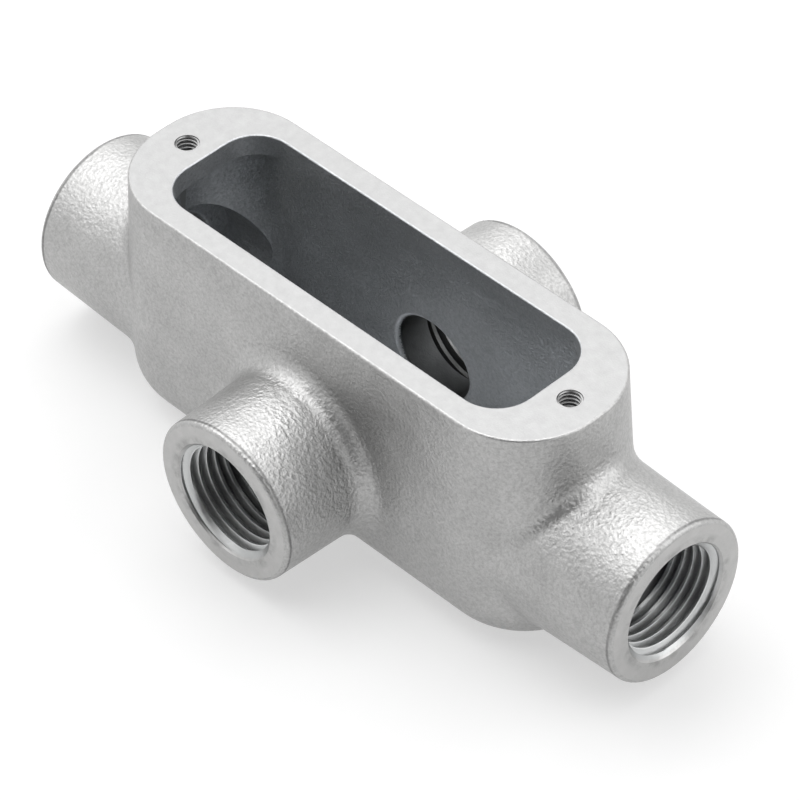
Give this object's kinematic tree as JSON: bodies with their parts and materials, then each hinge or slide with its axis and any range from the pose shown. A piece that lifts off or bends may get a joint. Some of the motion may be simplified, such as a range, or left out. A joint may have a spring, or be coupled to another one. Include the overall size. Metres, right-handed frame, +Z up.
{
  "type": "conduit body",
  "caption": "Cast metal conduit body with a long open mouth for pulling wire and threaded hubs set in a cross for rigid conduit.",
  "frame": {"origin": "centre of the flat underside", "axes": "+X along the body towards one end hub, +Y towards one side hub, +Z up out of the mouth"},
  "size_m": [0.1314, 0.0674, 0.045],
  "materials": {
    "zinc_casting": "as-cast skin with bright zinc plating, machined rim and hub faces"
  },
  "bodies": {
    "root": {"conduit_body": "zinc_casting"}
  },
  "joints": []
}
